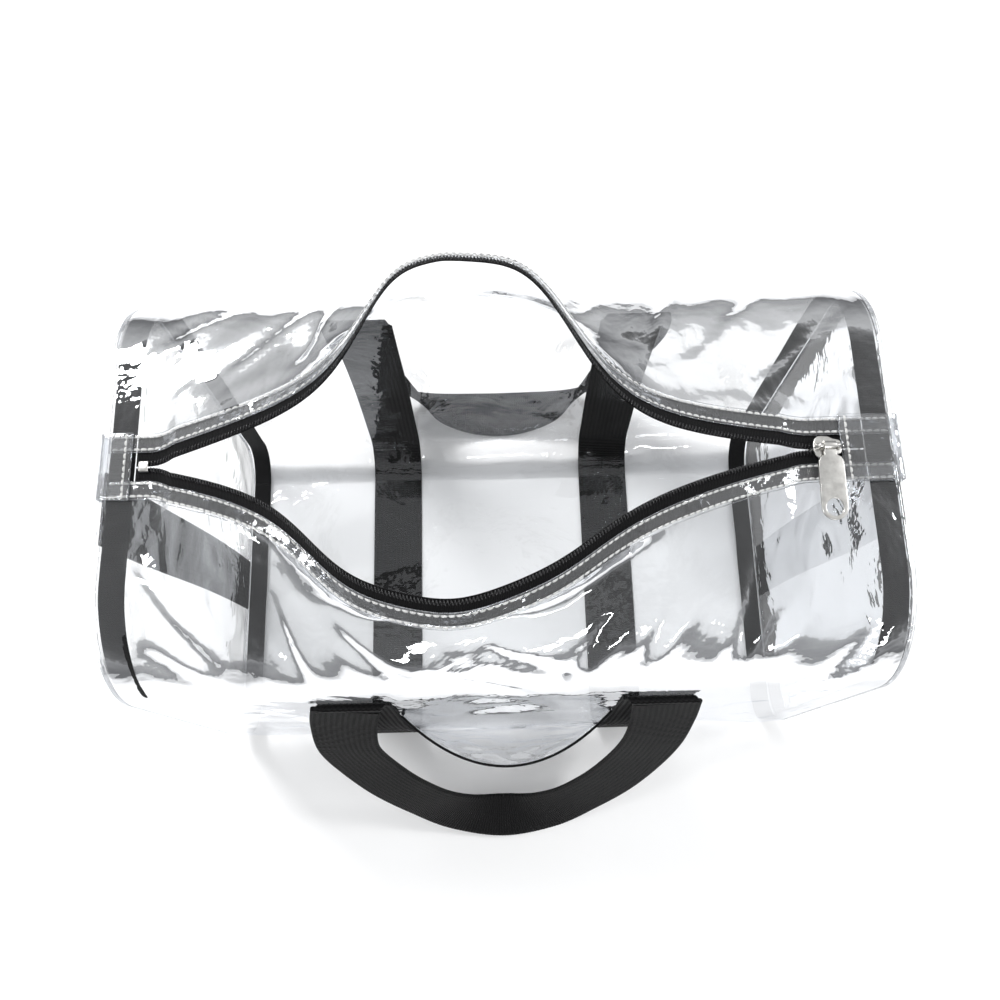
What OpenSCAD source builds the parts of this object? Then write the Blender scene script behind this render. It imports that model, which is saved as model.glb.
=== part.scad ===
// Clear film duffle-style makeup bag with its mouth unzipped. Millimetres, +Z up, X along the zipper,
// -Y toward the pocket side. The origin is on the floor, in the middle of the bag and its handles.
// The film, webbing and tape are soft, so each is drawn in its standing, opened shape.

/* [Body] */
// Length of the bag between its end panels
body_l = 400; // [300:5:520]
// Depth of the bag from the front wall to the back wall
body_d = 224; // [150:2:300]
// Height of the closed bag
body_h = 256; // [200:2:320]
// How far the top hangs toward the back
lean = 24; // [0:1:40]
// How far the base's middle stands behind the origin, which is the middle of bag and handles together
mid_y = 11.3; // [0:0.1:20]
// Radius of the shoulders between walls and roof
shoulder_r = 54; // [30:1:70]
// Radius of the edges between base and walls
base_r = 25; // [10:1:40]
// Thickness of the clear film
film_t = 0.6; // [0.3:0.1:1.2]
// Gap left between layers that are sewn together
layer_gap = 0.1; // [0.05:0.05:0.5]

/* [End seams] */
// Width of the black tape that binds each end seam inside
binding_w = 13; // [8:1:20]
// Thickness of the binding tape
binding_t = 1.2; // [0.6:0.1:2]
// How far the clear edge of an end seam stands out
welt_w = 2.5; // [1:0.5:5]
// Thickness of the clear edge of an end seam
welt_t = 1.2; // [0.6:0.1:2]

/* [Webbing] */
// Width of all webbing
web_w = 38; // [20:1:50]
// Thickness of the webbing
web_t = 1.5; // [1:0.1:3]
// Distance of each webbing loop from the middle of the bag
web_x = 83; // [60:1:110]
// Height where the loose webbing folds over
fold_z = 192; // [120:1:200]
// Height of the top of the stitched webbing
sewn_z = 80; // [40:1:120]
// Height of the lower end of the webbing's stitching
sewn_low_z = 30; // [26:1:50]
// Sideways offset of each end panel's webbing from the middle
end_web_y = 4; // [-20:1:30]
// Thickness of the handle, which is doubled webbing
handle_t = 2.6; // [2:0.1:5]

/* [Zipper] */
// Width of one side's coil
coil_w = 2.6; // [1.5:0.1:4]
// Height of the coil
coil_h = 1.8; // [1:0.1:4]
// Distance of each coil from the closing line
coil_in = 0.4; // [0.2:0.1:1]
// Distance from the closing line to the outer edge of one tape
tape_w = 16; // [10:1:20]
// Thickness of the tape
tape_t = 0.6; // [0.4:0.1:1]
// Distance from the closing line to the inner edge of a hem
hem_in = 7.5; // [5:0.5:10]
// Distance from the closing line to the outer edge of a hem
hem_out = 17.5; // [12:0.5:25]
// Distance between the zipper's end and the end seam
zip_end_gap = 14; // [8:1:30]
// Where the slider stands along the zipper when the bag is open
slider_x = 165; // [120:1:175]
// Length of the slider's body
slider_l = 14; // [8:0.5:18]
// Width of the slider's body
slider_w = 12; // [8:0.5:16]
// Length of the pull tab from its pin
pull_l = 38; // [20:1:50]
// Width of the pull tab
pull_w = 13; // [8:0.5:18]
// Thickness of the pull tab
pull_t = 1.8; // [1:0.1:3]
// Radius of the hole in the pull tab
pull_hole_r = 4.4; // [2:0.1:5]

/* [Pocket] */
// Height of the top edge of the front pocket
pocket_top = 140; // [90:1:180]
// Height of the bottom edge of the front pocket
pocket_low = 28; // [26:1:60]
// How far the pocket's top edge bulges out
pocket_bulge = 32; // [10:1:45]
// Half width of the pocket between the webbing
pocket_hw = 63; // [40:1:64]
// Height of the tape on the pocket's top edge
pocket_tape_h = 4; // [2:0.5:8]

/* [Hidden] */
half_l = body_l / 2;
half_d = body_d / 2;
// the film stands on the webbing that passes under it
base_z = web_t + layer_gap;
top_z = base_z + body_h;
in_l = half_l - film_t;
closed_y = mid_y + lean;
arc_n = 8;
// hinge lines that stand in for the bending of the two halves of the roof
fold_line_z = 178;
back_line_y = mid_y + 104;
front_line_y = mid_y - 51;
// degrees the halves of the roof are folded open where they are widest
back_open = 52.7;
front_open = 43.8;
// the widest point of the mouth, and its two ends
bow_x = -25;
bow_left = -178;
bow_right = 157;
// how each half bows on either side of that point: the share that falls off evenly, the power it falls
// with, and the half width and sharpness of the rounded rest
back_bow = [[0.45, 1, 0.267, 3.7], [0.2, 1, 0.34, 4.3]];
front_bow = [[0.55, 1, 0.41, 4.3], [0.8, 1.15, 0.35, 4.4]];
bow_end = 12;
// how far the widest point of the mouth is rounded, at the back and at the front
bow_round = [0.04, 0.12];
x_steps = 44;
roof_steps = 6;
roof_last = arc_n + roof_steps;
// how slowly a roof half leaves its closed shape above the shoulder
roof_power = 1.2;
// share of a step left free between a shoulder and its flap
flap_gap = 0.06;
zip_l = half_l - film_t - zip_end_gap;
coil_l = zip_l - 8;
// heights of the layers at the lip, measured up from the top of the roof
lip_gap = 0.3;
hem_low = -film_t;
hem_high = film_t;
tape_high = hem_low - lip_gap;
coil_low = tape_high + lip_gap;
stitch_t = 0.5;
stitch_w = 0.8;
stitch_in = 9;
stitch_out = 15.6;
// slider parts, measured up from the top of the roof
plate_t = 1.5;
plate_up = 2.3;
plate_down = 4.6;
wedge_w = 0.6;
wedge_l = 3;
bar_r = 1.2;
bar_up = 6.6;
barrel_r = 2.2;
barrel_clear = 0.08;
// room between the barrel and each post of the bridge
bridge_gap = 0.32;
barrel_l = 6;
post_l = 1.8;
post_w = 3.4;
pull_drop = 5;
pull_neck = 6;
tab_in_left = 187;
tab_in_right = 173;
tab_inset = 3;
tab_out = 3.4;
tab_hw = 18;
tab_up = 2;
tab_t = 0.8;
tab_drop = 9;
// how slowly the pocket leaves the wall on the way up
pocket_power = 1.3;
handle_clear = 0.6;
pin_fn = 48;

// sideways shift of a point at height z
function shift(z) = mid_y + lean * (z - base_z) / body_h;
function skew(p) = [p[0] + shift(p[1]), p[1]];
// a quarter turn about [cy, cz] between two angles
function arc(cy, cz, r, a0, a1) =
  [for (i = [0 : arc_n]) let (a = a0 + (a1 - a0) * i / arc_n) [cy + r * cos(a), cz + r * sin(a)]];
// one wall from the edge of the base up to the shoulder, at a depth i inside the film's outer face
function wall_path(side, i) = concat(
  [for (p = arc(half_d - base_r, base_z + base_r, base_r - i, -90, 0)) skew([side * p[0], p[1]])],
  [skew([side * (half_d - i), top_z - shoulder_r])]
);
// the outline of an end panel at a depth i
function end_path(i) = concat(
  [for (p = arc(half_d - base_r, base_z + base_r, base_r - i, -90, 0)) skew(p)],
  [for (p = arc(half_d - shoulder_r, top_z - shoulder_r, shoulder_r - i, 0, 90)) skew(p)],
  [for (p = arc(half_d - shoulder_r, top_z - shoulder_r, shoulder_r - i, 90, 0)) skew([-p[0], p[1]])],
  [for (p = arc(half_d - base_r, base_z + base_r, base_r - i, 0, -90)) skew([-p[0], p[1]])]
);
// half of the closed roof from the shoulder to a distance d_end from the closing line
function roof_path(side, i, d_end) = concat(
  [for (p = arc(half_d - shoulder_r, top_z - shoulder_r, shoulder_r - i, 0, 90)) skew([side * p[0], p[1]])],
  [for (k = [1 : roof_steps])
    let (d = half_d - shoulder_r + (d_end - (half_d - shoulder_r)) * k / roof_steps)
    [side * d + closed_y, top_z - i]]
);
// the point of a path at step t, on the straight line between its neighbours
function between(path, t) =
  let (i = floor(t), f = t - i)
  f == 0 ? path[i] : path[i] * (1 - f) + path[i + 1] * f;
function reversed(v) = [for (i = [len(v) - 1 : -1 : 0]) v[i]];
// turns p about the stand-in hinge line of one side
function folded(side, p, a) =
  let (
    cy = side > 0 ? back_line_y : front_line_y,
    v = [p[0] - cy, p[1] - fold_line_z]
  )
  [cy + v[0] * cos(a) - v[1] * sin(a), fold_line_z + v[0] * sin(a) + v[1] * cos(a)];
// share of the full opening at u, from 0 at the widest point to 1 at an end
function bow_share(k, u) = u >= 1 ? 0 :
  min(1, bow_end * (1 - u)) * (k[0] * pow(1 - u, k[1]) + (1 - k[0]) / (1 + pow(u / k[2], k[3])));
// u with its corner at the widest point rounded off
function eased(u, r) = (sqrt(u * u + r * r) - r) / (sqrt(1 + r * r) - r);
function bow_at(rows, r, x) = x < bow_x
  ? bow_share(rows[0], eased((bow_x - x) / (bow_x - bow_left), r))
  : bow_share(rows[1], eased((x - bow_x) / (bow_right - bow_x), r));
function bow(side, x) = side > 0
  ? -back_open * bow_at(back_bow, bow_round[0], x)
  : front_open * bow_at(front_bow, bow_round[1], x);
// a point of the lip, d from the closing line and up above the roof, at x along the bag
function lip(side, x, d, up) =
  let (q = folded(side, [closed_y + side * d, top_z + up], bow(side, x))) [x, q[0], q[1]];
// the point of a roof path at step t, folded open as far as that step goes at x
function roof_point(side, x, path, t) =
  let (q = folded(side, between(path, t), bow(side, x) * pow(t / roof_last, roof_power))) [x, q[0], q[1]];

// the same cuts for every strip, with the two ends at -l and l
function stations(l) = concat(
  [-l],
  [for (i = [1 : x_steps - 1]) let (x = in_l * (2 * i / x_steps - 1)) if (abs(x) < l - 1) x],
  [l]
);

function grid_faces(ni, nj, at, flip) = [
  for (i = [0 : ni - 2], j = [0 : nj - 2])
    let (a = at + i * nj + j, b = a + 1, c = a + nj, d = c + 1)
    each flip ? [[a, c, b], [b, c, d]] : [[a, b, c], [b, d, c]]
];
function edge_faces(a, b, n, flip) = flip
  ? [[a, n + a, b], [b, n + a, n + b]]
  : [[a, b, n + a], [b, n + b, n + a]];

// a closed sheet between two grids of points, upper and lower
module sheet(upper, lower, flip = false) {
  ni = len(upper);
  nj = len(upper[0]);
  n = ni * nj;
  polyhedron(
    points = concat([for (r = upper) each r], [for (r = lower) each r]),
    faces = concat(
      grid_faces(ni, nj, 0, flip),
      grid_faces(ni, nj, n, !flip),
      [for (i = [0 : ni - 2]) each edge_faces(i * nj, (i + 1) * nj, n, flip)],
      [for (i = [0 : ni - 2]) each edge_faces((i + 1) * nj + nj - 1, i * nj + nj - 1, n, flip)],
      [for (j = [0 : nj - 2]) each edge_faces(j + 1, j, n, flip)],
      [for (j = [0 : nj - 2]) each edge_faces((ni - 1) * nj + j, (ni - 1) * nj + j + 1, n, flip)]
    )
  );
}

// draws a flat shape in the Y-Z plane and pushes it along X from x0 to x1
module along_x(x0, x1) {
  translate([x0, 0, 0])
    rotate([90, 0, 90])
      linear_extrude(x1 - x0)
        children();
}

module wall(side, low, high, x0, x1) {
  along_x(x0, x1)
    polygon(concat(wall_path(side, low), reversed(wall_path(side, high))));
}

// one half of the roof between two of its cuts: the shoulder keeps its place, the flap folds open
module roof(side, from, to) {
  xs = stations(in_l);
  cuts = concat([from > 0 ? from + flap_gap : from], [for (j = [from + 1 : to]) j]);
  upper = roof_path(side, 0, hem_out + layer_gap);
  lower = roof_path(side, film_t, hem_out + layer_gap);
  sheet(
    [for (x = xs) [for (t = cuts) roof_point(side, x, upper, t)]],
    [for (x = xs) [for (t = cuts) roof_point(side, x, lower, t)]],
    side > 0
  );
}

// a strip that follows a lip between distances d0 and d1 and heights low and high
module lip_strip(side, l, d0, d1, low, high) {
  xs = stations(l);
  sheet(
    [for (x = xs) [lip(side, x, d0, high), lip(side, x, d1, high)]],
    [for (x = xs) [lip(side, x, d0, low), lip(side, x, d1, low)]],
    side < 0
  );
}

// a strip on the straight part of a wall, between two heights and two distances from the film
module wall_strip(side, z0, z1, off0, off1, x0, x1) {
  along_x(x0, x1)
    polygon([
      skew([side * (half_d + off0), z0]),
      skew([side * (half_d + off1), z0]),
      skew([side * (half_d + off1), z1]),
      skew([side * (half_d + off0), z1])
    ]);
}

module ring(low, high, x0, x1) {
  along_x(x0, x1)
    difference() {
      polygon(end_path(low));
      polygon(end_path(high));
    }
}

module base_panel() {
  color([0.85, 0.87, 0.9, 0.3])
    translate([-in_l, mid_y - (half_d - base_r), base_z])
      cube([2 * in_l, 2 * (half_d - base_r), film_t]);
}

module front_wall() {
  color([0.85, 0.87, 0.9, 0.3])
    wall(-1, 0, film_t, -in_l, in_l);
}

module back_wall() {
  color([0.85, 0.87, 0.9, 0.3])
    wall(1, 0, film_t, -in_l, in_l);
}

module front_shoulder() {
  color([0.85, 0.87, 0.9, 0.3])
    roof(-1, 0, arc_n);
}

module back_shoulder() {
  color([0.85, 0.87, 0.9, 0.3])
    roof(1, 0, arc_n);
}

module front_flap() {
  color([0.85, 0.87, 0.9, 0.3])
    roof(-1, arc_n, roof_last);
}

module back_flap() {
  color([0.85, 0.87, 0.9, 0.3])
    roof(1, arc_n, roof_last);
}

module end_panel(x0) {
  color([0.85, 0.87, 0.9, 0.3])
    along_x(x0, x0 + film_t)
      polygon(end_path(0));
}

module left_end_panel() {
  end_panel(-half_l);
}

module right_end_panel() {
  end_panel(half_l - film_t);
}

module left_seam_welt() {
  color([0.9, 0.92, 0.94, 0.5])
    ring(0, welt_t, -half_l - welt_w, -half_l);
}

module right_seam_welt() {
  color([0.9, 0.92, 0.94, 0.5])
    ring(0, welt_t, half_l, half_l + welt_w);
}

module left_seam_binding() {
  color([0.1, 0.1, 0.11])
    ring(film_t + layer_gap, film_t + layer_gap + binding_t,
      -in_l + layer_gap, -in_l + layer_gap + binding_w);
}

module right_seam_binding() {
  color([0.1, 0.1, 0.11])
    ring(film_t + layer_gap, film_t + layer_gap + binding_t,
      in_l - layer_gap - binding_w, in_l - layer_gap);
}

module end_webbing(x0) {
  low = base_z + welt_t + layer_gap;
  high = top_z - welt_t - layer_gap;
  color([0.07, 0.07, 0.08])
    translate([x0, mid_y + end_web_y - web_w / 2, low])
      cube([web_t, web_w, high - low]);
}

module left_end_webbing() {
  end_webbing(-half_l - layer_gap - web_t);
}

module right_end_webbing() {
  end_webbing(half_l + layer_gap);
}

module base_webbing(x) {
  color([0.07, 0.07, 0.08])
    translate([x - web_w / 2, mid_y - (half_d - base_r), 0])
      cube([web_w, 2 * (half_d - base_r), web_t]);
}

module left_base_webbing() {
  base_webbing(-web_x);
}

module right_base_webbing() {
  base_webbing(web_x);
}

// webbing that runs from the edge of the base up one wall to the fold
module wall_webbing(side, x) {
  low = -layer_gap;
  high = -layer_gap - web_t;
  path_low = wall_path(side, low);
  path_high = wall_path(side, high);
  last = len(path_low) - 1;
  color([0.07, 0.07, 0.08])
    along_x(x - web_w / 2, x + web_w / 2)
      polygon(concat(
        [for (i = [0 : last - 1]) path_low[i]],
        [skew([side * (half_d - low), fold_z]), skew([side * (half_d - high), fold_z])],
        [for (i = [last - 1 : -1 : 0]) path_high[i]]
      ));
}

module front_left_webbing() {
  wall_webbing(-1, -web_x);
}

module front_right_webbing() {
  wall_webbing(-1, web_x);
}

module back_left_webbing() {
  wall_webbing(1, -web_x);
}

module back_right_webbing() {
  wall_webbing(1, web_x);
}

// thread that holds one length of webbing to a wall: two edge rows and a boxed cross-bar pair
module webbing_stitches(side, x) {
  off0 = layer_gap + web_t;
  off1 = off0 + stitch_t;
  inset = 3;
  box_h = 16;
  for (k = [-1, 1]) {
    xe = x + k * (web_w / 2 - inset);
    wall_strip(side, sewn_low_z, sewn_z, off0, off1, xe - stitch_w / 2, xe + stitch_w / 2);
  }
  for (z = [sewn_z, sewn_z - box_h])
    wall_strip(side, z - stitch_w / 2, z + stitch_w / 2, off0, off1,
      x - web_w / 2 + inset + stitch_w, x + web_w / 2 - inset - stitch_w);
}

module webbing_stitching() {
  color([0.16, 0.16, 0.17])
    for (side = [-1, 1], x = [-web_x, web_x])
      webbing_stitches(side, x);
}

// Rows along half a handle, from the fold to its middle: distance from the bag's middle, how far out
// from the fold, height, and the direction across the webbing as sideways, outward and upward shares.
front_rows = [
  [88, 0, 192, 1, 0, 0],
  [91, 9, 168, 0.99, 0.02, -0.14],
  [90, 22, 141, 0.96, 0.08, -0.26],
  [82, 35, 109, 0.93, 0.16, -0.33],
  [68, 49, 74, 0.84, 0.28, -0.46],
  [50, 61, 43, 0.66, 0.42, -0.62],
  [27, 70, 21, 0.36, 0.66, -0.66],
  [0, 73, 14.5, 0, 0.8, -0.6]
];
back_rows = [
  [88, 0, 192, 1, 0, 0],
  [93, 6, 168, 0.99, 0.02, -0.14],
  [95, 11, 140, 0.97, 0.05, -0.24],
  [93, 15, 108, 0.93, 0.12, -0.35],
  [87, 17, 74, 0.85, 0.25, -0.46],
  [74, 16, 40, 0.68, 0.45, -0.58],
  [48, 11, 13, 0.3, 0.85, -0.42],
  [0, 8, 2.6, 0, 1, -0.02]
];
fold_out = half_d + layer_gap + web_t + handle_clear + handle_t / 2;
handle_cuts = 4;
// how far the front handle's loop hangs to one side, and over how many rows it gets there
front_sway = -4;
sway_steps = 2;

// the value of one column of the rows at step t, with straight lines between rows
function row_at(rows, t, c) = lookup(t, [for (i = [0 : len(rows) - 1]) [i, rows[i][c]]]);
function unit(v) = v / norm(v);
// one cut across a handle: its four corners, at step t from the fold, on the left (-1) or right (1)
function handle_cut(side, rows, hand, t) =
  let (
    sway = side < 0 ? front_sway * min(1, t / sway_steps) : 0,
    c = [hand * row_at(rows, t, 0) + sway, side * (row_at(rows, t, 1) + fold_out) + shift(fold_z),
      row_at(rows, t, 2)],
    w = unit([hand * row_at(rows, t, 3), side * row_at(rows, t, 4), row_at(rows, t, 5)]) * web_w / 2,
    e = 0.05,
    c2 = [hand * row_at(rows, t + e, 0), side * (row_at(rows, t + e, 1) + fold_out) + shift(fold_z),
      row_at(rows, t + e, 2)],
    c1 = [hand * row_at(rows, t - e, 0), side * (row_at(rows, t - e, 1) + fold_out) + shift(fold_z),
      row_at(rows, t - e, 2)],
    n = hand * side * unit(cross(w, c2 - c1)) * handle_t / 2
  )
  [c - w, c + w, n];

module handle(side, rows) {
  last = len(rows) - 1;
  count = last * handle_cuts;
  // both halves stop one cut short of the middle and are joined across it
  half = [for (i = [0 : count - 1]) i / handle_cuts];
  cuts = concat(
    [for (t = half) handle_cut(side, rows, -1, t)],
    [for (t = reversed(half)) handle_cut(side, rows, 1, t)]
  );
  color([0.07, 0.07, 0.08])
    sheet(
      [for (q = cuts) [q[1] + q[2], q[0] + q[2]]],
      [for (q = cuts) [q[1] - q[2], q[0] - q[2]]],
      side > 0
    );
}

module front_handle() {
  handle(-1, front_rows);
}

module back_handle() {
  handle(1, back_rows);
}

module front_zipper_tape() {
  color([0.06, 0.06, 0.07])
    lip_strip(-1, zip_l, coil_in, tape_w, tape_high - tape_t, tape_high);
}

module back_zipper_tape() {
  color([0.06, 0.06, 0.07])
    lip_strip(1, zip_l, coil_in, tape_w, tape_high - tape_t, tape_high);
}

module front_zipper_coil() {
  color([0.05, 0.05, 0.06])
    lip_strip(-1, coil_l, coil_in, coil_in + coil_w, coil_low, coil_low + coil_h);
}

module back_zipper_coil() {
  color([0.05, 0.05, 0.06])
    lip_strip(1, coil_l, coil_in, coil_in + coil_w, coil_low, coil_low + coil_h);
}

module front_hem() {
  color([0.9, 0.92, 0.94, 0.5])
    lip_strip(-1, in_l, hem_in, hem_out, hem_low, hem_high);
}

module back_hem() {
  color([0.9, 0.92, 0.94, 0.5])
    lip_strip(1, in_l, hem_in, hem_out, hem_low, hem_high);
}

module hem_stitches(side) {
  for (d = [stitch_in, stitch_out])
    lip_strip(side, in_l, d - stitch_w / 2, d + stitch_w / 2, hem_high + lip_gap,
      hem_high + lip_gap + stitch_t);
}

module front_hem_stitching() {
  color([0.95, 0.95, 0.94])
    hem_stitches(-1);
}

module back_hem_stitching() {
  color([0.95, 0.95, 0.94])
    hem_stitches(1);
}

// clear tab folded over a zipper end and down over the end seam
module end_tab(k) {
  out = half_l + tab_out;
  in = k > 0 ? tab_in_right : tab_in_left;
  color([0.9, 0.92, 0.94, 0.5])
    translate([0, closed_y - tab_hw, 0]) {
      translate([k > 0 ? in : -out, 0, top_z + tab_up])
        cube([out - in, 2 * tab_hw, tab_t]);
      translate([k > 0 ? out - tab_t : -out, 0, top_z - tab_drop])
        cube([tab_t, 2 * tab_hw, tab_up + tab_drop]);
    }
}

module left_end_tab() {
  end_tab(-1);
}

module right_end_tab() {
  end_tab(1);
}

module tab_stitching() {
  color([0.95, 0.95, 0.94])
    for (x = [-tab_in_left - tab_inset, tab_in_right + tab_inset])
      translate([x - stitch_w / 2, closed_y - tab_hw, top_z + tab_up + tab_t])
        cube([stitch_w, 2 * tab_hw, stitch_t]);
}

// slider: two plates round the coils, the wedge that parts them, and the bridge for the pull
module zipper_slider() {
  half_w = slider_w / 2;
  bridge = barrel_l / 2 + bridge_gap;
  color([0.75, 0.75, 0.74])
    translate([slider_x, closed_y, top_z]) {
      translate([-slider_l / 2, -half_w, plate_up])
        cube([slider_l, slider_w, plate_t]);
      translate([-slider_l / 2, -half_w, -plate_down])
        cube([slider_l, slider_w, plate_t]);
      translate([-slider_l / 2, -wedge_w / 2, -plate_down])
        cube([wedge_l, wedge_w, plate_down + plate_up + plate_t]);
      for (k = [-1, 1])
        translate([k * (bridge + post_l / 2) - post_l / 2, -post_w / 2, plate_up])
          cube([post_l, post_w, bar_up - plate_up + bar_r]);
      translate([-bridge - post_l, 0, bar_up])
        rotate([0, 90, 0])
          cylinder(r = bar_r, h = 2 * (bridge + post_l), $fn = pin_fn);
    }
}

// pull tab on a barrel round the slider's bar, lying toward the front
module zipper_pull() {
  color([0.75, 0.75, 0.74])
    translate([slider_x, closed_y, top_z + bar_up])
      rotate([pull_drop, 0, 0])
        difference() {
          union() {
            rotate([0, 90, 0])
              cylinder(r = barrel_r, h = barrel_l, center = true, $fn = pin_fn);
            translate([-barrel_l / 2, -pull_neck, -pull_t / 2])
              cube([barrel_l, pull_neck, pull_t]);
            translate([0, 0, -pull_t / 2])
              linear_extrude(pull_t) {
                translate([-pull_w / 2, -pull_l + pull_w / 2])
                  square([pull_w, pull_l - pull_w / 2 - pull_neck]);
                translate([0, -pull_l + pull_w / 2])
                  circle(d = pull_w, $fn = pin_fn);
              }
          }
          rotate([0, 90, 0])
            cylinder(r = bar_r + barrel_clear, h = 2 * barrel_l, center = true, $fn = pin_fn);
          translate([0, -pull_l + pull_w / 2, -pull_t])
            cylinder(r = pull_hole_r, h = 2 * pull_t, $fn = pin_fn);
        }
}

// folded tape that stops the slider at the far end of the zipper
module zipper_stop() {
  stop_l = 5;
  stop_gap = 1;
  stop_up = 0.2;
  color([0.7, 0.7, 0.7])
    translate([-coil_l - stop_gap - stop_l, closed_y - coil_w, top_z + coil_low + stop_up])
      cube([stop_l, 2 * coil_w, coil_h]);
}

// how far the pocket stands out at x and z, with an edge thickness added
function pocket_y(x, z, add) =
  let (
    across = 1 - pow(abs(x) / pocket_hw, 2),
    up = (z - pocket_low) / (pocket_top - pocket_low)
  )
  shift(z) - half_d - layer_gap - pocket_bulge * across * pow(up, pocket_power) - add;

pocket_cols = 20;
pocket_rows = 10;
pocket_xs = [for (i = [0 : pocket_cols]) -pocket_hw + 2 * pocket_hw * i / pocket_cols];

module front_pocket() {
  zs = [for (j = [0 : pocket_rows]) pocket_low + (pocket_top - pocket_low) * j / pocket_rows];
  color([0.85, 0.87, 0.9, 0.3])
    sheet(
      [for (x = pocket_xs) [for (z = zs) [x, pocket_y(x, z, film_t), z]]],
      [for (x = pocket_xs) [for (z = zs) [x, pocket_y(x, z, 0), z]]]
    );
}

module pocket_binding() {
  low = pocket_top + layer_gap;
  high = low + pocket_tape_h;
  thick = 1;
  color([0.07, 0.07, 0.08])
    sheet(
      [for (x = pocket_xs) [for (z = [low, high]) [x, pocket_y(x, pocket_top, thick), z]]],
      [for (x = pocket_xs) [for (z = [low, high]) [x, pocket_y(x, pocket_top, 0), z]]]
    );
}

base_panel();
front_wall();
back_wall();
front_shoulder();
back_shoulder();
front_flap();
back_flap();
left_end_panel();
right_end_panel();
left_seam_welt();
right_seam_welt();
left_seam_binding();
right_seam_binding();
left_end_webbing();
right_end_webbing();
left_base_webbing();
right_base_webbing();
front_left_webbing();
front_right_webbing();
back_left_webbing();
back_right_webbing();
webbing_stitching();
front_handle();
back_handle();
front_zipper_tape();
back_zipper_tape();
front_zipper_coil();
back_zipper_coil();
front_hem();
back_hem();
front_hem_stitching();
back_hem_stitching();
left_end_tab();
right_end_tab();
tab_stitching();
zipper_slider();
zipper_pull();
zipper_stop();
front_pocket();
pocket_binding();
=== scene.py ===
import math
import bmesh
import bpy
import numpy as np
from mathutils import Matrix, Vector, noise


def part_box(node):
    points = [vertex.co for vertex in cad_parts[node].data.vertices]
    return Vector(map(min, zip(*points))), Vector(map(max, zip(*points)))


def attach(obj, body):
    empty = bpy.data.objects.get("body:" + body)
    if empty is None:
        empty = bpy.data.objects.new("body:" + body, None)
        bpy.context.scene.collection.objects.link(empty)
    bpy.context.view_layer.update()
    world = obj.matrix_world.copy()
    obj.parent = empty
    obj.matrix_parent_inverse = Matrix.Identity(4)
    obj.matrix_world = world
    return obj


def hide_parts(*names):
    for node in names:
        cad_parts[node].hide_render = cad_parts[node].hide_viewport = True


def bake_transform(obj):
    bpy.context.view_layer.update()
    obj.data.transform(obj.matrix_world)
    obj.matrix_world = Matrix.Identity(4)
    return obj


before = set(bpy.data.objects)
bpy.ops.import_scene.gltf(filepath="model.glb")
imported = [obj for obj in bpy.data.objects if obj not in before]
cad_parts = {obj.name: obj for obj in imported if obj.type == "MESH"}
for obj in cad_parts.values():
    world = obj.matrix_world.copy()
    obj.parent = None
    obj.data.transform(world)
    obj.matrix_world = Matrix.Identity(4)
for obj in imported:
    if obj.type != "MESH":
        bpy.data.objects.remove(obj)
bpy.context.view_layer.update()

MM = 0.001

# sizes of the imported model, in metres
HALF_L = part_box("right_end_panel")[1].x
BASE_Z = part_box("base_panel")[0].z
TOP_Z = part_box("left_end_panel")[1].z
HALF_D = 112 * MM
MID_Y = 11.3 * MM
LEAN = 24 * MM
SHOULDER_R = 54 * MM
BASE_R = 25 * MM
FILM_T = 0.6 * MM
GAP = 0.1 * MM
IN_L = HALF_L - FILM_T
CLOSED_Y = MID_Y + LEAN
HEM_IN, HEM_OUT = 7.5 * MM, 17.5 * MM
WEB_W, WEB_T, WEB_X = 38 * MM, 1.5 * MM, 83 * MM
FOLD_Z, SEWN_Z, SEWN_LOW_Z = 192 * MM, 80 * MM, 30 * MM
HANDLE_T = 2.6 * MM
SLIDER_X = 165 * MM
COIL_L = 177.4 * MM
ZIP_L = 185.4 * MM
POCKET_LOW, POCKET_TOP, POCKET_HW, POCKET_BULGE = 28 * MM, 140 * MM, 63 * MM, 32 * MM
POCKET_POWER = 1.3
# how far the walls stand out at most, and between which heights
SWELL, SWELL_LOW, SWELL_HIGH = 3.5 * MM, 12 * MM, 188 * MM
# the zipper and its hems, out from the closing line and up from the top of the roof
TAPE_IN, TAPE_OUT, TAPE_LOW, TAPE_HIGH = 0.4 * MM, 16 * MM, -1.5 * MM, -0.9 * MM
HEM_ROWS, HEM_STITCH, HEM_STITCH_UP = (9 * MM, 15.6 * MM), 3.6 * MM, 0.85 * MM
COIL_PITCH, WIRE_R = 1.7 * MM, 0.33 * MM
# the box stitch that holds a strap to its wall: how far in from the strap's edges, and how high
BOX_IN, BOX_H, STRAP_STITCH_R = 3 * MM, 16 * MM, 0.35 * MM
RIB = 1.6 * MM

# how the mouth bows open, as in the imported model
BOW_X, BOW_LEFT, BOW_RIGHT, BOW_END = -25 * MM, -178 * MM, 157 * MM, 12
BOW_ROUND = {1: 0.04, -1: 0.12}
OPEN = {1: math.radians(52.7), -1: math.radians(43.8)}
PIVOT = {1: (MID_Y + 104 * MM, 178 * MM), -1: (MID_Y - 51 * MM, 178 * MM)}
BOWS = {
    1: ((0.45, 1, 0.267, 3.7), (0.2, 1, 0.34, 4.3)),
    -1: ((0.55, 1, 0.41, 4.3), (0.8, 1.15, 0.35, 4.4)),
}
# how slowly the roof leaves its closed shape, and the shoulder's share of the way over it
ROOF_POWER = 1.5
SHOULDER_SHARE = 8 / 14
SIDE_NAME = {1: "back", -1: "front"}
HANDS = ((-1, "left"), (1, "right"))


def shift(z):
    return MID_Y + LEAN * (z - BASE_Z) / (TOP_Z - BASE_Z)


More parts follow.
